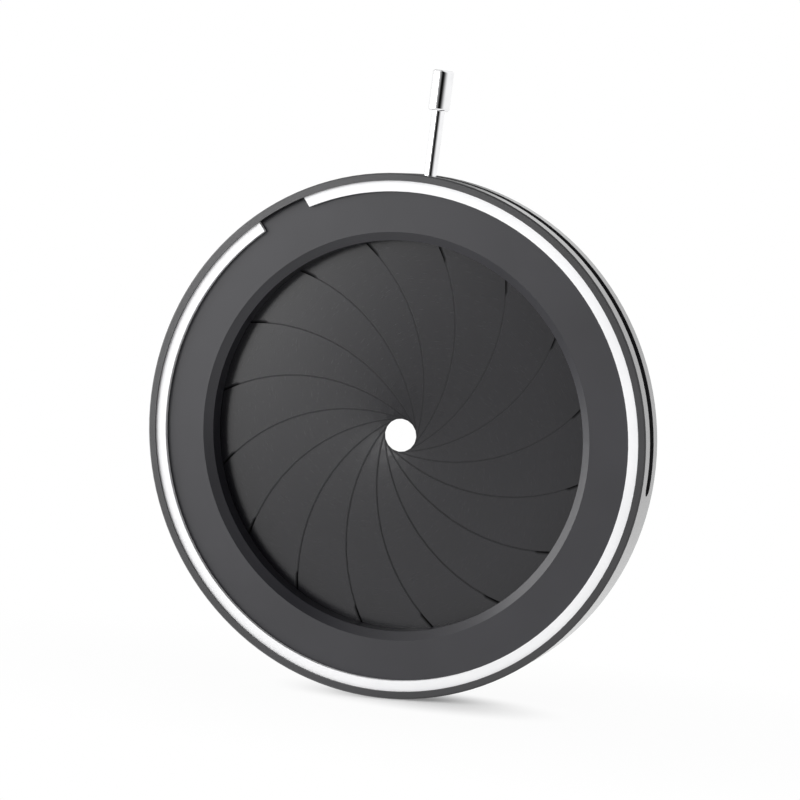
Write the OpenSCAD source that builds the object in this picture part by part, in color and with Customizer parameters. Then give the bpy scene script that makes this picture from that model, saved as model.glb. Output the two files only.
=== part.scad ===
// Iris diaphragm, sixteen leaves, hand lever in a side slot.
// The optical axis is Y and the front looks towards -Y. The lever stands up along +Z.
// Each piece is drawn face-on: x right, y up, z out of the rear face towards the viewer.
// face_on() then turns it into the frame of the part. The rear face lies on Y = 0.

/* [Housing] */
// Outer diameter of the housing
housing_d = 70; // [66:0.5:90]
// Overall thickness, rear face to front lip
housing_t = 6.2; // [5.8:0.1:9]
// Wall between the rim and the bore that the drive ring turns in
wall_t = 1.0; // [0.7:0.05:1.8]
// Thickness of the rear flange that carries the leaf pivots
floor_t = 1.0; // [0.8:0.05:1.5]
// Chamfer on the outer edges
edge_c = 0.2; // [0.05:0.05:0.3]
// How far the rear opening stands outside the open leaves
rear_margin = 0.7; // [0:0.1:1.5]

/* [Snap ring] */
// Thickness of the snap ring
snap_t = 0.6; // [0.4:0.05:1]
// How far the snap ring stands in from the bore
snap_in = 1.4; // [0.8:0.1:3]
// How far the snap ring lies in its groove
snap_out = 0.4; // [0.2:0.05:0.5]
// Play of the snap ring in its groove, outwards and across
snap_play = 0.02; // [0.01:0.01:0.05]
// Depth of the snap ring below the front lip
snap_below = 0.35; // [0.3:0.05:0.8]
// Middle of the gap in the snap ring, degrees from +X, counterclockwise
snap_gap_at_deg = 116.9; // [90:0.5:150]
// Width of the gap in the snap ring, degrees
snap_gap_deg = 12.5; // [4:0.5:30]
// Direction of both cut ends of the snap ring, degrees from +X, counterclockwise
snap_cut_deg = 122.5; // [90:0.5:150]

/* [Drive ring] */
// Radial running clearance between the drive ring and the bore
ring_play = 0.05; // [0.01:0.01:0.1]
// Axial clearance between the drive ring and the snap ring
ring_lift = 0.05; // [0.02:0.01:0.1]
// How far the opening through the ring stands outside the open leaves
ring_margin = 0.85; // [0.3:0.05:1.2]
// Front chamfer of the opening, across the face
ring_chamfer_w = 1.1; // [0.3:0.05:2]
// Front chamfer of the opening, depth
ring_chamfer_h = 0.85; // [0.3:0.05:1.5]
// Depth of the radial drive slots in the rear of the ring
drive_slot_h = 0.95; // [0.6:0.05:1.2]
// Wall between the ring's opening and its drive slots
drive_wall = 0.6; // [0.4:0.05:0.9]
// Clearance round a stud in its drive slot or pivot hole
stud_play = 0.05; // [0.02:0.01:0.1]

/* [Lever] */
// Travel of the lever, closed to open, degrees
lever_travel_deg = 89.4; // [86:0.1:92]
// Angle of the lever at rest, degrees from +X, counterclockwise
lever_at_deg = 82.3; // [80:0.1:84]
// Diameter of the lever rod
rod_d = 1.65; // [1.2:0.05:2]
// Length of rod held in the drive ring
rod_grip = 3.95; // [2:0.05:5]
// Height of the rod's axis above the rear of the drive ring
rod_up = 1.05; // [1:0.05:1.6]
// Radial clearance of the rod in its holes in the ring and the knob
rod_play = 0.01; // [0.005:0.005:0.05]
// Clearance between the rod and the long sides of the slot in the rim
slot_play = 0.15; // [0.1:0.05:0.3]
// Gap between the rod and the closed end of the slot, along the rim
slot_stop = 0.35; // [0.1:0.05:1]
// Gap between the rod and the open end of the slot, along the rim
slot_spare = 1.7; // [0.1:0.05:2.5]
// Reach of the lever beyond the rim
lever_reach = 13.8; // [8:0.1:25]
// Diameter of the knob
knob_d = 2.8; // [2.6:0.1:5]
// Length of the knob
knob_len = 5.3; // [4:0.1:7]
// Rounding of the knob's edges
knob_round = 0.35; // [0.1:0.05:0.5]
// Depth of the rod in the knob
knob_seat = 3.2; // [1:0.1:3.6]

/* [Leaves] */
// Number of leaves
leaf_n = 16; // [16:1:16]
// Thickness of a leaf
leaf_t = 0.05; // [0.03:0.005:0.06]
// Width of the whole ring that stands round the hole when the leaves are fully open
open_wall = 9.695; // [9.5:0.005:10.5]
// Diameter of the hole that the leaves leave, closed
closed_d = 4.4; // [3:0.1:8]
// Gap between the open leaves and the bore
leaf_rim_gap = 0.5; // [0.4:0.05:0.8]
// Distance of the pivot studs in from the convex edge of an open leaf
pivot_inset = 3.3; // [3:0.05:3.6]
// Length of a leaf beyond its pivot stud
pivot_end = 3.0; // [1.5:0.1:3.2]
// Length of a leaf beyond its drive stud
drive_end = 2.6; // [1.5:0.1:3]
// Diameter of the pivot studs, on the rear of the leaves
stud_d = 1.0; // [0.8:0.05:1.2]
// Diameter of the drive studs, on the front of the leaves
drive_stud_d = 0.8; // [0.6:0.05:1]
// Angle of the first leaf's pivot, degrees from +X, counterclockwise
first_pivot_deg = 229.6; // [229:0.1:231]
// Air between neighbouring leaves where they cross near the closed hole
leaf_air = 0.015; // [0.01:0.001:0.03]
// Share of the climb that goes with the leaf's own arc
arc_share = 0.4; // [0.3:0.05:0.6]
// Clearance between the leaf ends and the rear flange, and the drive ring
leaf_lift = 0.04; // [0.01:0.005:0.1]

/* [Hidden] */
$fn = 96;
// facets of holes and studs, of the rod and the knob
fn_stud = 32;
fn_rod = 48;
// how far a cutter stands out of what it cuts: through a flange, and out of a wall
eps = 0.5;
over = 2;
pitch = 360 / leaf_n;
housing_r = housing_d / 2;
bore_r = housing_r - wall_t;
stud_r = stud_d / 2;
drive_stud_r = drive_stud_d / 2;

// plane turns, counterclockwise
function turn(a, p) = [p.x * cos(a) - p.y * sin(a), p.x * sin(a) + p.y * cos(a)];
function steps(a, b, n) = [for (i = [0:n - 1]) a + (b - a) * i / n];
function polar(r, a) = [r * cos(a), r * sin(a)];
// angle that a width w takes at the rim
function rim_a(w) = w / housing_r * 180 / PI;

// leaf frame: centre of the concave edge at the origin, pivot on +x, leaf open
leaf_in_r = housing_r - open_wall;
leaf_out_r = bore_r - leaf_rim_gap;
leaf_mid_r = (leaf_in_r + leaf_out_r) / 2;
ring_open_r = leaf_in_r + ring_margin;
pivot_r = leaf_out_r - pivot_inset;
leaf_travel_deg = 2 * asin((leaf_in_r - closed_d / 2) / (2 * pivot_r));
ratio = leaf_travel_deg / lever_travel_deg;
piv = [pivot_r, 0];
// half way through the travel the drive stud passes nearest the axis, across from the pivot
stud_reach = pivot_r + ring_open_r + drive_wall + drive_stud_r + stud_play;
drv = piv + stud_reach * [-cos(leaf_travel_deg / 2), sin(leaf_travel_deg / 2)];
drv_r = norm(drv);
drv_a = atan2(drv.y, drv.x);
hole = piv + turn(-leaf_travel_deg, -piv);
hole_a = atan2(hole.y, hole.x);

// stations along the leaf, finer where it passes the hole, and flat pads round the studs
pad_a = 2.4;
near_a = 20;
span_steps = 8;
hole_steps = 10;
pivot_caps = [0.98, 0.63];
drive_caps = [0.55, 0.94];
tiny = 0.01;
function end_a(len, r, share) = len * share / r * 180 / PI;
leaf_phi = concat(
    [for (f = pivot_caps) -end_a(pivot_end, pivot_r, f)], [0],
    steps(pad_a, hole_a - near_a, span_steps),
    steps(hole_a - near_a, hole_a + near_a, hole_steps),
    steps(hole_a + near_a, drv_a - pad_a, span_steps),
    [drv_a - pad_a, drv_a], [for (f = drive_caps) drv_a + end_a(drive_end, drv_r, f)]);
// stations across the leaf, as shares of its width
leaf_fr = [0, 0.15, 0.45, 1];
n_phi = len(leaf_phi);
n_fr = len(leaf_fr);

// half width of the leaf: constant between the studs, an elliptic cap beyond each
function cap(a) =
    a < 0 ? sqrt(1 - pow(-a * PI / 180 * pivot_r / pivot_end, 2)) :
    a > drv_a ? sqrt(1 - pow((a - drv_a) * PI / 180 * drv_r / drive_end, 2)) : 1;
function r_at(a, f) = leaf_mid_r + (f - 0.5) * (leaf_out_r - leaf_in_r) * cap(a);
leaf_xy = [for (a = leaf_phi) [for (f = leaf_fr) polar(r_at(a, f), a)]];

// height of a leaf: it climbs from the pivot end to the driven end, about both centres
rise_hole = leaf_t + leaf_air;
rise_arc = arc_share * rise_hole;
function wrap(a) = a > 180 ? a - 360 : a < -180 ? a + 360 : a;
function about_hole(p) = wrap(atan2(p.y - hole.y, p.x - hole.x) - hole_a);
function climb(p) = (rise_arc * atan2(p.y, p.x) + rise_hole * about_hole(p)) / pitch;
leaf_raw = [for (row = leaf_xy) [for (p = row) climb(p)]];
function low_end(i) = leaf_phi[i] < pad_a + tiny;
function high_end(i) = leaf_phi[i] > drv_a - pad_a - tiny;
climb_lo = min([for (i = [0:n_phi - 1]) if (low_end(i)) min(leaf_raw[i])]);
climb_hi = max([for (i = [0:n_phi - 1]) if (high_end(i)) max(leaf_raw[i])]);
leaf_rise = climb_hi - climb_lo;
function lift(i, j) = low_end(i) ? 0 : high_end(i) ? leaf_rise : leaf_raw[i][j] - climb_lo;
leaf_z0 = floor_t + leaf_lift;
leaf_top = leaf_z0 + leaf_rise + leaf_t;
leaf_pts = [
    for (z = [0, leaf_t]) for (i = [0:n_phi - 1]) for (j = [0:n_fr - 1])
    [leaf_xy[i][j].x, leaf_xy[i][j].y, leaf_z0 + lift(i, j) + z]];
function lo(i, j) = i * n_fr + j;
function up(i, j) = n_phi * n_fr + lo(i, j);
last_i = n_phi - 1;
last_j = n_fr - 1;
leaf_faces = concat(
    [for (i = [0:last_i - 1]) for (j = [0:last_j - 1]) [up(i, j), up(i + 1, j), up(i + 1, j + 1)]],
    [for (i = [0:last_i - 1]) for (j = [0:last_j - 1]) [up(i, j), up(i + 1, j + 1), up(i, j + 1)]],
    [for (i = [0:last_i - 1]) for (j = [0:last_j - 1]) [lo(i, j), lo(i, j + 1), lo(i + 1, j + 1)]],
    [for (i = [0:last_i - 1]) for (j = [0:last_j - 1]) [lo(i, j), lo(i + 1, j + 1), lo(i + 1, j)]],
    [for (i = [0:last_i - 1]) [up(i + 1, 0), up(i, 0), lo(i, 0), lo(i + 1, 0)]],
    [for (i = [0:last_i - 1]) [up(i, last_j), up(i + 1, last_j), lo(i + 1, last_j), lo(i, last_j)]],
    [for (j = [0:last_j - 1]) [up(0, j), up(0, j + 1), lo(0, j + 1), lo(0, j)]],
    [for (j = [0:last_j - 1]) [up(last_i, j + 1), up(last_i, j), lo(last_i, j), lo(last_i, j + 1)]]);

// stack along the axis
ring_z0 = leaf_top + leaf_lift;
snap_z1 = housing_t - snap_below;
snap_z0 = snap_z1 - snap_t;
ring_z1 = snap_z0 - ring_lift;
ring_r = bore_r - ring_play;
rear_open_r = leaf_in_r + rear_margin;
groove_r = bore_r + snap_out + snap_play;

// lever and its slot in the rim
rod_z = ring_z0 + rod_up;
rod_in_r = ring_r - rod_grip;
knob_out_r = housing_r + lever_reach;
slot_r = rod_d / 2 + slot_play;
slot_a1 = lever_at_deg + rim_a(rod_d / 2 + slot_stop);
slot_a0 = lever_at_deg - lever_travel_deg - rim_a(rod_d / 2 + slot_spare);

// drive slot: straight and radial, wide enough for a leaf that turns in step with the lever
function drv_at(b) = turn(b, piv + turn(leaf_travel_deg - b * ratio, drv - piv));
slot_mid_a = 180 + lever_travel_deg / 2;
path_n = 90;
drv_path = [for (i = [0:path_n]) turn(-slot_mid_a, drv_at(lever_travel_deg * i / path_n))];
drive_w = max([for (p = drv_path) abs(p.y)]) + drive_stud_r + stud_play;
drive_r0 = min([for (p = drv_path) p.x]) - drive_stud_r - stud_play;
drive_r1 = max([for (p = drv_path) p.x]) + drive_stud_r + 2 * stud_play;
// corner cut of the drive slots
drive_c = 0.25;
// air beyond the ends of the studs
stud_short = 0.1;
// the slot's round ends are this much smaller than half its height
slot_ease = 0.06;
slot_steps = 4;
// the wedge that cuts the slot reaches this far beyond the rim at its corners
wedge_over = 8;

module face_on() rotate([90, 0, 0]) children();
module at_leaf(k) rotate([0, 0, first_pivot_deg - pitch * (k - 1)]) children();
// leaf frame, closed as at rest
module closed()
    translate([pivot_r, 0, 0]) rotate([0, 0, leaf_travel_deg]) translate([-pivot_r, 0, 0]) children();
// local z runs outwards along the lever
module along_lever() rotate([0, 0, lever_at_deg]) translate([0, 0, rod_z]) rotate([0, 90, 0]) children();

module housing_body() {
    rotate_extrude() polygon([
        [rear_open_r, edge_c],
        [rear_open_r + edge_c, 0],
        [housing_r - edge_c, 0],
        [housing_r, edge_c],
        [housing_r, housing_t - edge_c],
        [housing_r - edge_c, housing_t],
        [bore_r, housing_t],
        [bore_r, snap_z1 + snap_play],
        [groove_r, snap_z1 + snap_play],
        [groove_r, snap_z0],
        [bore_r, snap_z0],
        [bore_r, floor_t],
        [rear_open_r, floor_t]]);
}

// a wedge from the axis outwards, so that only the wall is cut, with a round end at each side
module side_slot() {
    end_r = slot_r - slot_ease;
    from_a = slot_a0 + rim_a(end_r);
    to_a = slot_a1 - rim_a(end_r);
    translate([0, 0, rod_z - slot_r]) linear_extrude(height = 2 * slot_r)
        polygon(concat([[0, 0]],
            [for (i = [0:slot_steps]) polar(housing_r + wedge_over, from_a + (to_a - from_a) * i / slot_steps)]));
    for (a = [from_a, to_a])
        rotate([0, 0, a]) translate([bore_r - over, 0, rod_z]) rotate([0, 90, 0])
        cylinder(r = end_r, h = wall_t + 2 * over, $fn = fn_rod);
}

module housing() {
    color([0.16, 0.16, 0.18]) face_on() difference() {
        housing_body();
        for (k = [1:leaf_n])
            at_leaf(k) translate([pivot_r, 0, -eps])
            cylinder(r = stud_r + stud_play, h = floor_t + 2 * eps, $fn = fn_stud);
        side_slot();
    }
}

// how far from the axis, square to the cut, an end of the snap ring lies
function snap_end(side) =
    (bore_r - snap_in / 2) * sin(snap_gap_at_deg + side * snap_gap_deg / 2 - snap_cut_deg);

module snap_ring() {
    color([0.85, 0.85, 0.84]) face_on() difference() {
        rotate_extrude() translate([bore_r - snap_in, snap_z0]) square([snap_in + snap_out, snap_t]);
        rotate([0, 0, snap_cut_deg])
            translate([housing_r / 2, snap_end(-1), snap_z0 - eps])
            cube([housing_r / 2 + over, snap_end(1) - snap_end(-1), snap_t + 2 * eps]);
    }
}

module drive_ring() {
    color([0.2, 0.2, 0.22]) face_on() difference() {
        rotate_extrude() polygon([
            [ring_open_r, ring_z0],
            [ring_r, ring_z0],
            [ring_r, ring_z1],
            [ring_open_r + ring_chamfer_w, ring_z1],
            [ring_open_r, ring_z1 - ring_chamfer_h]]);
        for (k = [1:leaf_n])
            at_leaf(k) rotate([0, 0, slot_mid_a]) translate([0, 0, ring_z0 - eps])
            linear_extrude(height = drive_slot_h + eps) polygon([
                [drive_r0, -drive_w], [drive_r1 - drive_c, -drive_w],
                [drive_r1, -drive_w + drive_c], [drive_r1, drive_w - drive_c],
                [drive_r1 - drive_c, drive_w], [drive_r0, drive_w]]);
        along_lever() translate([0, 0, rod_in_r])
            cylinder(r = rod_d / 2 + rod_play, h = ring_r - rod_in_r + over, $fn = fn_rod);
    }
}

module lever_rod() {
    color([0.8, 0.8, 0.82]) face_on() along_lever() translate([0, 0, rod_in_r])
        cylinder(r = rod_d / 2, h = knob_out_r - knob_len + knob_seat - rod_in_r, $fn = fn_rod);
}

module knob_section() {
    f = knob_round;
    r = knob_d / 2;
    square([r - f, knob_len]);
    translate([0, f]) square([r, knob_len - 2 * f]);
    translate([r - f, f]) circle(r = f, $fn = fn_stud);
    translate([r - f, knob_len - f]) circle(r = f, $fn = fn_stud);
}

module lever_knob() {
    color([0.8, 0.8, 0.82]) face_on() along_lever() translate([0, 0, knob_out_r - knob_len])
        difference() {
            rotate_extrude($fn = fn_rod) knob_section();
            translate([0, 0, -eps]) cylinder(r = rod_d / 2 + rod_play, h = knob_seat + eps, $fn = fn_rod);
        }
}

module leaf(k) {
    color([0.3, 0.3, 0.32]) face_on() at_leaf(k) closed()
        polyhedron(points = leaf_pts, faces = leaf_faces);
}

module studs(k) {
    color([0.55, 0.55, 0.57]) face_on() at_leaf(k) closed() {
        translate([piv.x, piv.y, stud_short]) cylinder(r = stud_r, h = leaf_z0 - stud_short, $fn = fn_stud);
        translate([drv.x, drv.y, leaf_top])
            cylinder(r = drive_stud_r, h = ring_z0 + drive_slot_h - stud_short - leaf_top, $fn = fn_stud);
    }
}

module leaf_01() leaf(1);
module leaf_02() leaf(2);
module leaf_03() leaf(3);
module leaf_04() leaf(4);
module leaf_05() leaf(5);
module leaf_06() leaf(6);
module leaf_07() leaf(7);
module leaf_08() leaf(8);
module leaf_09() leaf(9);
module leaf_10() leaf(10);
module leaf_11() leaf(11);
module leaf_12() leaf(12);
module leaf_13() leaf(13);
module leaf_14() leaf(14);
module leaf_15() leaf(15);
module leaf_16() leaf(16);
module studs_01() studs(1);
module studs_02() studs(2);
module studs_03() studs(3);
module studs_04() studs(4);
module studs_05() studs(5);
module studs_06() studs(6);
module studs_07() studs(7);
module studs_08() studs(8);
module studs_09() studs(9);
module studs_10() studs(10);
module studs_11() studs(11);
module studs_12() studs(12);
module studs_13() studs(13);
module studs_14() studs(14);
module studs_15() studs(15);
module studs_16() studs(16);

housing();
snap_ring();
drive_ring();
lever_rod();
lever_knob();
leaf_01();
leaf_02();
leaf_03();
leaf_04();
leaf_05();
leaf_06();
leaf_07();
leaf_08();
leaf_09();
leaf_10();
leaf_11();
leaf_12();
leaf_13();
leaf_14();
leaf_15();
leaf_16();
studs_01();
studs_02();
studs_03();
studs_04();
studs_05();
studs_06();
studs_07();
studs_08();
studs_09();
studs_10();
studs_11();
studs_12();
studs_13();
studs_14();
studs_15();
studs_16();
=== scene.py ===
import math

import bpy
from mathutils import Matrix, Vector

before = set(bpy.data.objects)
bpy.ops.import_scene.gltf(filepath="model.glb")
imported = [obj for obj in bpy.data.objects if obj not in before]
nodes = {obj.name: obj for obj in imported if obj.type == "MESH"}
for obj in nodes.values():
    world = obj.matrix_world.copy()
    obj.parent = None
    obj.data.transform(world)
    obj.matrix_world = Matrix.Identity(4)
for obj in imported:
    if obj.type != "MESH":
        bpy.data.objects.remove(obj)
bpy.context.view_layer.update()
bpy.context.scene.view_settings.view_transform = "Standard"
bpy.ops.object.select_all(action="DESELECT")

# --- Housing -----------------------------------------------------------------
# A shallow ring turned from aluminium bar: a thin rear flange that carries the
# leaf pivots, and a rim with the lever's slot milled through it. It is bead
# blasted on its faces, left finely turned on the rim, and anodised black.

HOUSING_BLACK = (0.0180, 0.0178, 0.0198, 1.0)
HOUSING_GREY = (0.0248, 0.0246, 0.0272, 1.0)
HOUSING_MARKS = 9000.0          # turning marks to a metre of radius
HOUSING_GRAIN = 16000.0         # grains of the blasting to a metre
HOUSING_ROUGH = (0.34, 0.44)
HOUSING_RELIEF = 0.000004
MARKS_DEPTH = 0.5               # depth of the turning marks beside the grain's
RIM_ENDS = (0.03494, 0.03497)   # radii between which a face turns into the rim
RIM_SMOOTHER = 0.20             # how much less rough the rim is than a face
SEALED = (0.25, 1.0)            # glassy top of the anodising, on a face and on the rim
SEALED_ROUGH = 0.3
ANODISED_IOR = 1.5
BLOTCHES = 90.0                 # slow blotches of the dye to a metre
NOISE_SPAN = (0.3, 0.7)         # where most of a noise pattern's values lie


def put(tree, kind, feeds=None, **settings):
    """Adds a shader node. A feed is a plain value, or the socket that feeds it."""
    made = tree.nodes.new("ShaderNode" + kind)
    for name, value in settings.items():
        setattr(made, name, value)
    for name, feed in (feeds or {}).items():
        if isinstance(feed, bpy.types.NodeSocket):
            tree.links.new(feed, made.inputs[name])
        else:
            made.inputs[name].default_value = feed
    return made


def math_on(tree, operation, first, second=0.0):
    return put(tree, "Math", {0: first, 1: second}, operation=operation).outputs[0]


def times(tree, first, second):
    return math_on(tree, "MULTIPLY", first, second)


def plus(tree, first, second):
    return math_on(tree, "ADD", first, second)


def length_of(tree, vector):
    return put(tree, "VectorMath", {0: vector}, operation="LENGTH").outputs["Value"]


def spread(tree, value, span, onto=(0.0, 1.0), **settings):
    """Stretches a value from its span onto another, and holds it inside that."""
    feeds = {"Value": value, "From Min": span[0], "From Max": span[1],
             "To Min": onto[0], "To Max": onto[1]}
    return put(tree, "MapRange", feeds, **settings).outputs["Result"]


def blend_colours(tree, share, first, second):
    """The colours are the seventh and eighth inputs of a Mix node."""
    feeds = {0: share, 6: first, 7: second}
    return put(tree, "Mix", feeds, data_type="RGBA").outputs[2]


def bump_from(tree, height, depth):
    feeds = {"Height": height, "Strength": 1.0, "Distance": depth}
    return put(tree, "Bump", feeds).outputs[0]


def new_group(name, takes, gives):
    """An empty shader node group, with its inputs and its outputs by name and kind."""
    tree = bpy.data.node_groups.new(name, "ShaderNodeTree")
    for side, sockets in (("INPUT", takes), ("OUTPUT", gives)):
        for socket, kind in sockets.items():
            tree.interface.new_socket(socket, in_out=side, socket_type="NodeSocket" + kind)
    given = tree.nodes.new("NodeGroupInput").outputs
    shown = tree.nodes.new("NodeGroupOutput").inputs
    return tree, given, shown


def turned_finish():
    """Turning marks round the axis, blasted grain and slow blotches, from 0 to 1."""
    tree, given, shown = new_group(
        "turned_finish",
        {"Place": "Vector", "Marks to a metre": "Float", "Grains to a metre": "Float"},
        {"Radius": "Float", "Marks": "Float", "Blast": "Float", "Blotch": "Float"})
    place = given["Place"]
    flat = put(tree, "Mapping", {"Vector": place, "Scale": (1.0, 0.0, 1.0)})
    radius = length_of(tree, flat.outputs[0])
    along = times(tree, radius, given["Marks to a metre"])
    marks = put(tree, "TexNoise", {"W": along, "Scale": 1.0, "Detail": 3.0,
                                   "Roughness": 0.6}, noise_dimensions="1D")
    blast = put(tree, "TexNoise", {"Vector": place, "Scale": given["Grains to a metre"],
                                   "Detail": 2.0, "Roughness": 0.55})
    blotch = put(tree, "TexNoise", {"Vector": place, "Scale": BLOTCHES, "Detail": 2.0})
    tree.links.new(radius, shown["Radius"])
    tree.links.new(marks.outputs[0], shown["Marks"])
    tree.links.new(blast.outputs[0], shown["Blast"])
    tree.links.new(blotch.outputs[0], shown["Blotch"])
    return tree


turned = turned_finish()


def new_material(name):
    made = bpy.data.materials.new(name)
    made.use_nodes = True
    made.node_tree.nodes.clear()
    return made, made.node_tree


def turned_on(tree, marks, grain):
    """Places the shared turned finish in a material, with its own marks and grain."""
    feeds = {"Place": put(tree, "TexCoord").outputs["Object"],
             "Marks to a metre": marks, "Grains to a metre": grain}
    return put(tree, "Group", feeds, node_tree=turned).outputs


def shade(tree, feeds):
    """The surface shader, with the finish's values and patterns on its sockets."""
    surface = put(tree, "BsdfPrincipled", feeds)
    put(tree, "OutputMaterial", {"Surface": surface.outputs[0]})


def finish_node(name, material):
    """Gives a piece of the frame its finish, in every slot of its mesh."""
    mesh = nodes[name].data
    if not mesh.materials:
        mesh.materials.append(material)
    for number in range(len(mesh.materials)):
        mesh.materials[number] = material


def housing_finish():
    made, tree = new_material("black_anodised_housing")
    skin = turned_on(tree, HOUSING_MARKS, HOUSING_GRAIN)
    on_rim = spread(tree, skin["Radius"], RIM_ENDS)
    tone = spread(tree, skin["Blotch"], NOISE_SPAN)
    rough = plus(tree, spread(tree, skin["Blast"], NOISE_SPAN, HOUSING_ROUGH),
                 times(tree, on_rim, -RIM_SMOOTHER))
    relief = plus(tree, times(tree, skin["Marks"], MARKS_DEPTH), skin["Blast"])
    shade(tree, {"Base Color": blend_colours(tree, tone, HOUSING_BLACK, HOUSING_GREY),
                 "Roughness": rough, "Metallic": 0.0, "IOR": ANODISED_IOR,
                 "Coat Weight": spread(tree, on_rim, (0.0, 1.0), SEALED),
                 "Coat Roughness": SEALED_ROUGH,
                 "Normal": bump_from(tree, relief, HOUSING_RELIEF)})
    return made


finish_node("housing", housing_finish())

# --- Leaves and their studs --------------------------------------------------
# Sixteen curved blades blanked from spring steel strip 0.05 mm thick and
# blackened. Each has a bright stud riveted at both ends: one sits in a hole of
# the rear flange, the other in a slot of the drive ring.

LEAF_COUNT = 16
FIRST_PIVOT = 229.6             # degrees from right, seen from the front
EDGE_RADIUS = 0.0253            # of the arc that is a leaf's inner edge
ARC_CENTRE = 0.0231             # from the axis to the middle of that arc
ARC_BEHIND = 67.49              # degrees by which that middle lies behind the pivot
LEAF_SWING = 44.98              # degrees that a leaf turns between closed and open
LEAF_BLACK = (0.0052, 0.0049, 0.0070, 1.0)
LEAF_GREY = (0.0080, 0.0076, 0.0102, 1.0)
LEAF_ROUGH = (0.235, 0.275)
LEAF_RELIEF = 0.000001
BLACKENED_IOR = 1.5
ROLLED = (12.0, 1.0, 1.0)       # the rolling grain is twelve times finer across
ROLLED_GRAIN = 900.0            # grains to a metre along it
LEAF_CLOUDS = 70.0              # clouds in the blackening to a metre
CLOUD_SPAN = (0.35, 0.65)       # where most of a cloud pattern's values lie
# Painted shade along each leaf's inner edge: the dark gap line where it lies over the leaf
# below, widening to a dark wedge at the driven end, where the leaf lifts.
PAINTED_SHADE_BLACK = (0.0015, 0.0015, 0.0015, 1.0)
PAINTED_SHADE_BEGINS = 0.00006           # from the inner edge, where the painted shade is full
PAINTED_SHADE_WIDTHS = (0.00026, 0.0005)  # along the edge, and at the driven end
PAINTED_SHADE_SHARES = (0.48, 1.0)       # how strong it shows in those two places
PAINTED_SHADE_ROUGHER = 0.4
DRIVEN_END = (math.radians(126.6), math.radians(127.6))  # where that end begins
STUD_GREY = (0.42, 0.42, 0.42, 1.0)
STUD_BRIGHT = (0.56, 0.56, 0.55, 1.0)
STUD_GRAIN = 20000.0
STUD_ROUGH = (0.22, 0.34)
STUD_RELIEF = 0.000002


def leaf_marks_and_shade():
    """A leaf's rolling grain, the clouds in its blackening, and a painted shade along its
    inner edge.
    """
    tree, given, shown = new_group(
        "leaf_marks_and_shade", {"On leaf": "Vector"},
        {"Grain": "Float", "Cloud": "Float", "Painted edge shade": "Float"})
    on_leaf = given["On leaf"]
    rolled = put(tree, "Mapping", {"Vector": on_leaf, "Scale": ROLLED})
    grain = put(tree, "TexNoise", {"Vector": rolled.outputs[0], "Scale": ROLLED_GRAIN,
                                   "Detail": 3.0})
    cloud = put(tree, "TexNoise", {"Vector": on_leaf, "Scale": LEAF_CLOUDS,
                                   "Detail": 2.0})
    # Painted shade: darkest at the inner edge, fading within a fraction of a millimetre,
    # and wider at the driven end.
    flat = put(tree, "Mapping", {"Vector": on_leaf, "Scale": (1.0, 0.0, 1.0)})
    from_edge = math_on(tree, "SUBTRACT", length_of(tree, flat.outputs[0]), EDGE_RADIUS)
    sides = put(tree, "SeparateXYZ", {0: on_leaf}).outputs
    along_edge = math_on(tree, "ARCTAN2", sides["Z"], sides["X"])
    width = spread(tree, along_edge, DRIVEN_END, PAINTED_SHADE_WIDTHS)
    share = spread(tree, along_edge, DRIVEN_END, PAINTED_SHADE_SHARES)
    painted_edge_shade = times(tree, spread(tree, from_edge, (PAINTED_SHADE_BEGINS, width), (1.0, 0.0)), share)
    tree.links.new(grain.outputs[0], shown["Grain"])
    tree.links.new(cloud.outputs[0], shown["Cloud"])
    tree.links.new(painted_edge_shade, shown["Painted edge shade"])
    return tree


marks_and_shade_on_leaf = leaf_marks_and_shade()


def leaf_finish(number):
    """Blackened strip, with the shared marks and painted edge shade turned and moved onto
    this leaf.
    """
    made, tree = new_material(f"blackened_leaf_{number:02d}")
    place = put(tree, "TexCoord").outputs["Object"]
    pivot_at = FIRST_PIVOT - 360.0 / LEAF_COUNT * (number - 1)
    middle_at = math.radians(pivot_at - ARC_BEHIND)
    middle = (ARC_CENTRE * math.cos(middle_at), 0.0, ARC_CENTRE * math.sin(middle_at))
    turn = (0.0, -math.radians(pivot_at + LEAF_SWING), 0.0)
    on_leaf = put(tree, "Mapping", {"Vector": place, "Location": middle, "Rotation": turn},
                  vector_type="TEXTURE").outputs[0]
    marks = put(tree, "Group", {"On leaf": on_leaf}, node_tree=marks_and_shade_on_leaf).outputs
    painted_edge_shade = marks["Painted edge shade"]
    tone = spread(tree, marks["Cloud"], CLOUD_SPAN)
    black = blend_colours(tree, tone, LEAF_BLACK, LEAF_GREY)
    rough = plus(tree, spread(tree, marks["Grain"], NOISE_SPAN, LEAF_ROUGH),
                 times(tree, painted_edge_shade, PAINTED_SHADE_ROUGHER))
    # The painted edge shade turns the colour near black and, through Metallic, takes the
    # shine off there too.
    shade(tree, {"Base Color": blend_colours(tree, painted_edge_shade, black, PAINTED_SHADE_BLACK),
                 "Roughness": rough, "Metallic": painted_edge_shade, "IOR": BLACKENED_IOR,
                 "Normal": bump_from(tree, marks["Grain"], LEAF_RELIEF)})
    return made


def stud_finish():
    made, tree = new_material("bright_stud")
    skin = turned_on(tree, STUD_GRAIN, STUD_GRAIN)
    tone = spread(tree, skin["Blast"], NOISE_SPAN)
    shade(tree, {"Base Color": blend_colours(tree, tone, STUD_GREY, STUD_BRIGHT),
                 "Roughness": spread(tree, skin["Blast"], NOISE_SPAN, STUD_ROUGH),
                 "Metallic": 1.0, "Normal": bump_from(tree, skin["Blast"], STUD_RELIEF)})
    return made


bright_stud = stud_finish()
for number in range(1, LEAF_COUNT + 1):
    finish_node(f"leaf_{number:02d}", leaf_finish(number))
    finish_node(f"studs_{number:02d}", bright_stud)

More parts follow.
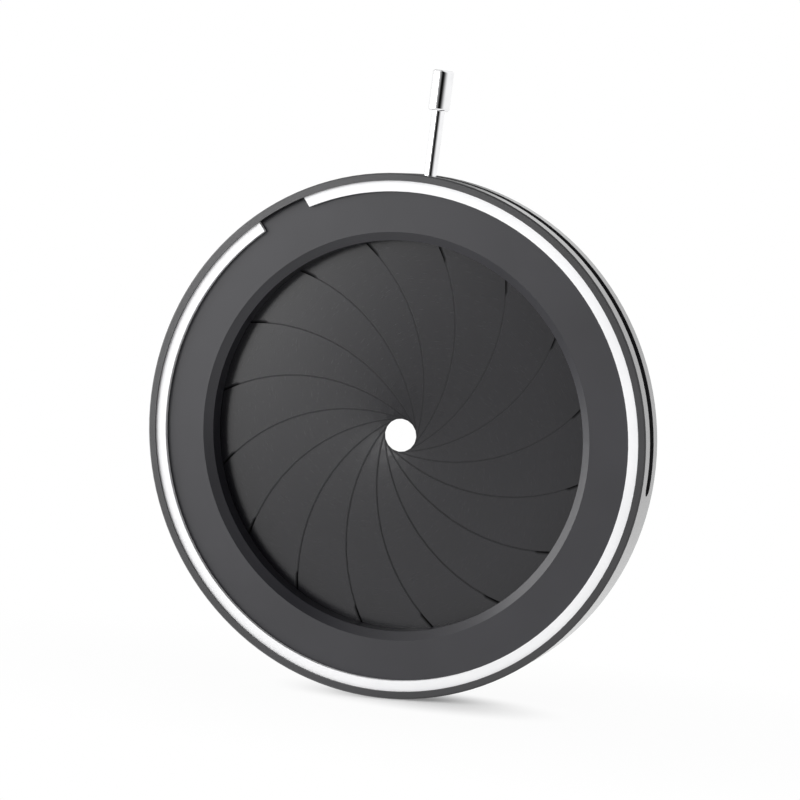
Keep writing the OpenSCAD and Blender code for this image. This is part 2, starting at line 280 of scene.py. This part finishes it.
# --- Drive ring --------------------------------------------------------------
# A flat ring turned from aluminium that runs in the housing's bore on top of
# the leaves. Its rear has sixteen slots for the drive studs. The face is
# anodised satin black, and the opening has a wide chamfer.

RING_BLACK = (0.0146, 0.0143, 0.0180, 1.0)
RING_GREY = (0.0200, 0.0196, 0.0244, 1.0)
RING_MARKS = 6000.0
RING_GRAIN = 14000.0
RING_ROUGH = (0.38, 0.46)
RING_RELIEF = 0.000004
RING_MARKS_DEPTH = 0.6
CHAMFER_ENDS = (0.02730, 0.02733)  # radii between which chamfer turns into face
CHAMFER_SMOOTHER = 0.05


def ring_finish():
    made, tree = new_material("black_anodised_ring")
    skin = turned_on(tree, RING_MARKS, RING_GRAIN)
    on_chamfer = spread(tree, skin["Radius"], CHAMFER_ENDS, (1.0, 0.0))
    tone = spread(tree, skin["Blotch"], NOISE_SPAN)
    rough = plus(tree, spread(tree, skin["Blast"], NOISE_SPAN, RING_ROUGH),
                 times(tree, on_chamfer, -CHAMFER_SMOOTHER))
    relief = plus(tree, times(tree, skin["Marks"], RING_MARKS_DEPTH), skin["Blast"])
    shade(tree, {"Base Color": blend_colours(tree, tone, RING_BLACK, RING_GREY),
                 "Roughness": rough, "Metallic": 0.0, "IOR": ANODISED_IOR,
                 "Normal": bump_from(tree, relief, RING_RELIEF)})
    return made


finish_node("drive_ring", ring_finish())

# --- Snap ring ---------------------------------------------------------------
# A flat ring of spring wire, sprung into a groove of the bore in front of the
# drive ring, with a gap to close it by. It is plated bright zinc, almost white.

ZINC_WHITE = (0.88, 0.88, 0.89, 1.0)
ZINC_GREY = (0.84, 0.84, 0.85, 1.0)
ZINC_MARKS = 8000.0
ZINC_GRAIN = 18000.0
ZINC_ROUGH = (0.42, 0.52)
ZINC_METAL = 0.15
ZINC_RELIEF = 0.000003


def zinc_finish():
    made, tree = new_material("bright_zinc")
    skin = turned_on(tree, ZINC_MARKS, ZINC_GRAIN)
    tone = spread(tree, skin["Blotch"], CLOUD_SPAN)
    shade(tree, {"Base Color": blend_colours(tree, tone, ZINC_GREY, ZINC_WHITE),
                 "Roughness": spread(tree, skin["Blast"], NOISE_SPAN, ZINC_ROUGH),
                 "Metallic": ZINC_METAL,
                 "Normal": bump_from(tree, skin["Marks"], ZINC_RELIEF)})
    return made


finish_node("snap_ring", zinc_finish())

# --- Lever -------------------------------------------------------------------
# A round rod screwed into the edge of the drive ring, and a small turned knob
# pressed on its outer end. Both are brass, polished and nickel plated.

NICKEL_BRIGHT = (0.93, 0.93, 0.94, 1.0)
NICKEL_DULL = (0.87, 0.87, 0.88, 1.0)
NICKEL_CLOUDS = 500.0
NICKEL_ROUGH = (0.03, 0.07)


def nickel_finish():
    made, tree = new_material("polished_nickel")
    place = put(tree, "TexCoord").outputs["Object"]
    cloud = put(tree, "TexNoise", {"Vector": place, "Scale": NICKEL_CLOUDS,
                                   "Detail": 2.0}).outputs[0]
    tone = spread(tree, cloud, CLOUD_SPAN)
    shade(tree, {"Base Color": blend_colours(tree, tone, NICKEL_BRIGHT, NICKEL_DULL),
                 "Roughness": spread(tree, cloud, NOISE_SPAN, NICKEL_ROUGH),
                 "Metallic": 1.0})
    return made


nickel = nickel_finish()
finish_node("lever_rod", nickel)
finish_node("lever_knob", nickel)

# --- Table, studio and camera ------------------------------------------------
# The diaphragm stands on its rim on a small pale table in a white room. Two
# soft lamps stand on its left, and what is bright mirrors the white room, with
# a wide dark part behind the camera and a narrow one behind the table.

WHITE = (1.0, 1.0, 1.0, 1.0)
TABLE_PALE = (0.86, 0.86, 0.86, 1.0)
TABLE_LEVEL = -0.0351
TABLE_RADIUS = 0.22
TABLE_SIDES = 96
SHADE_PLACE = (0.003, -0.0045, TABLE_LEVEL)  # painted shade where the rim stands, over the real shadow
SHADE_TURN = math.radians(-18.0)
SHADE_STRETCH = (1.60, 0.50, 1.0)
SHADE_SPAN = (0.001, 0.016)
SHADE_GLOW = (0.20, 1.0)        # share of the table's own white in it and beyond
TABLE_SPAN = (0.02, 0.08)
TABLE_GLOW = (0.95, 1.0)
ROOM_LIGHT = 0.50
DARK_MIDDLE = math.radians(20.0)  # round from the front, towards the right
DARK_SPAN = (math.radians(6.0), math.radians(60.0))
DARK_GLOW = (0.004, 1.0)
REAR_SPAN = (math.radians(2.0), math.radians(13.0))
REAR_GLOW = (0.12, 1.0)
KEY_PLACE = Vector((-0.73, -0.24, 0.16))
KEY_SIZE = 0.60
KEY_POWER = 5.4
FILL_PLACE = Vector((-0.335, -0.47, 0.12))
FILL_SIZE = 0.26
FILL_POWER = 1.38
AIM = Vector((0.0, -0.0062, 0.0))
CAMERA_AZIMUTH = math.radians(19.87)
CAMERA_ELEVATION = math.radians(5.14)
CAMERA_DISTANCE = 0.350
CAMERA_SENSOR = 36.0
CAMERA_CLIP = (0.01, 20.0)
LENS_PX = 2641.0
AIM_PX = (388.7, 438.2)
FRAME_PX = 800.0


def ray_kinds(tree):
    """1 for a camera, mirror or glass ray, and 1 for a mirror ray alone."""
    path = put(tree, "LightPath").outputs
    shiny = math_on(tree, "MAXIMUM", path["Is Glossy Ray"], path["Is Transmission Ray"])
    return math_on(tree, "MAXIMUM", path["Is Camera Ray"], shiny), path["Is Glossy Ray"]


def soft_step(tree, value, span, onto):
    return spread(tree, value, span, onto, interpolation_type="SMOOTHSTEP")


def white_room():
    """White to look at, and white with its two dark parts in what is bright."""
    world = bpy.data.worlds.new("white_room")
    world.use_nodes = True
    tree = world.node_tree
    tree.nodes.clear()
    seen, mirrored = ray_kinds(tree)
    way = put(tree, "SeparateXYZ", {0: put(tree, "TexCoord").outputs["Generated"]}).outputs
    azimuth = math_on(tree, "ARCTAN2", way["X"], times(tree, way["Y"], -1.0))
    off = math_on(tree, "ABSOLUTE", math_on(tree, "SUBTRACT", azimuth, DARK_MIDDLE))
    off_rear = math_on(tree, "ABSOLUTE", math_on(tree, "SUBTRACT", math.pi, off))
    lit = times(tree, soft_step(tree, off, DARK_SPAN, DARK_GLOW),
                soft_step(tree, off_rear, REAR_SPAN, REAR_GLOW))
    lit = math_on(tree, "MAXIMUM", lit, math_on(tree, "SUBTRACT", 1.0, mirrored))
    room = put(tree, "Background", {"Color": WHITE, "Strength": lit})
    light = put(tree, "Background", {"Color": WHITE, "Strength": ROOM_LIGHT})
    mixed = put(tree, "MixShader", {0: seen, 1: light.outputs[0], 2: room.outputs[0]})
    put(tree, "OutputWorld", {"Surface": mixed.outputs[0]})
    return world


def table_finish():
    """White as the room, but for the diaphragm's real shadow and a painted shade at its
    foot.
    """
    made, tree = new_material("pale_table")
    seen, _ = ray_kinds(tree)
    place = put(tree, "TexCoord").outputs["Object"]
    at_foot = put(tree, "Mapping", {"Vector": place, "Location": SHADE_PLACE,
                                    "Rotation": (0.0, 0.0, SHADE_TURN),
                                    "Scale": SHADE_STRETCH}, vector_type="TEXTURE")
    # Painted shade: less of the white glow in a stretched patch at the foot, so that the
    # table's greyer lit colour and its real shadow show there.
    away = length_of(tree, at_foot.outputs[0])
    glow = times(tree, soft_step(tree, away, SHADE_SPAN, SHADE_GLOW),
                 spread(tree, away, TABLE_SPAN, TABLE_GLOW))
    cloth = put(tree, "BsdfDiffuse", {"Color": TABLE_PALE})
    white = put(tree, "Emission", {"Color": WHITE, "Strength": 1.0})
    mixed = put(tree, "MixShader", {0: times(tree, seen, glow), 1: cloth.outputs[0],
                                    2: white.outputs[0]})
    put(tree, "OutputMaterial", {"Surface": mixed.outputs[0]})
    return made


bpy.context.scene.world = white_room()
bpy.ops.mesh.primitive_circle_add(vertices=TABLE_SIDES, radius=TABLE_RADIUS,
                                  fill_type="NGON", location=(0.0, 0.0, TABLE_LEVEL))
table = bpy.context.object
table.name = "table"
bpy.ops.object.transform_apply(location=True, rotation=False, scale=False)
table.data.materials.append(table_finish())


def soft_lamp(name, place, size, power):
    bpy.ops.object.light_add(type="AREA", location=place)
    lamp = bpy.context.object
    lamp.name = name
    lamp.data.size = size
    lamp.data.energy = power
    lamp.rotation_euler = (-place).to_track_quat("-Z", "Y").to_euler()


soft_lamp("key_lamp", KEY_PLACE, KEY_SIZE, KEY_POWER)
soft_lamp("fill_lamp", FILL_PLACE, FILL_SIZE, FILL_POWER)

bpy.ops.object.camera_add()
camera = bpy.context.object
back = Vector((math.sin(CAMERA_AZIMUTH) * math.cos(CAMERA_ELEVATION),
               -math.cos(CAMERA_AZIMUTH) * math.cos(CAMERA_ELEVATION),
               math.sin(CAMERA_ELEVATION)))
camera.location = AIM + back * CAMERA_DISTANCE
camera.rotation_euler = (-back).to_track_quat("-Z", "Y").to_euler()
camera.data.sensor_width = CAMERA_SENSOR
camera.data.lens = CAMERA_SENSOR * LENS_PX / FRAME_PX
camera.data.shift_x = (FRAME_PX / 2 - AIM_PX[0]) / FRAME_PX
camera.data.shift_y = (AIM_PX[1] - FRAME_PX / 2) / FRAME_PX
camera.data.clip_start, camera.data.clip_end = CAMERA_CLIP
bpy.context.scene.camera = camera
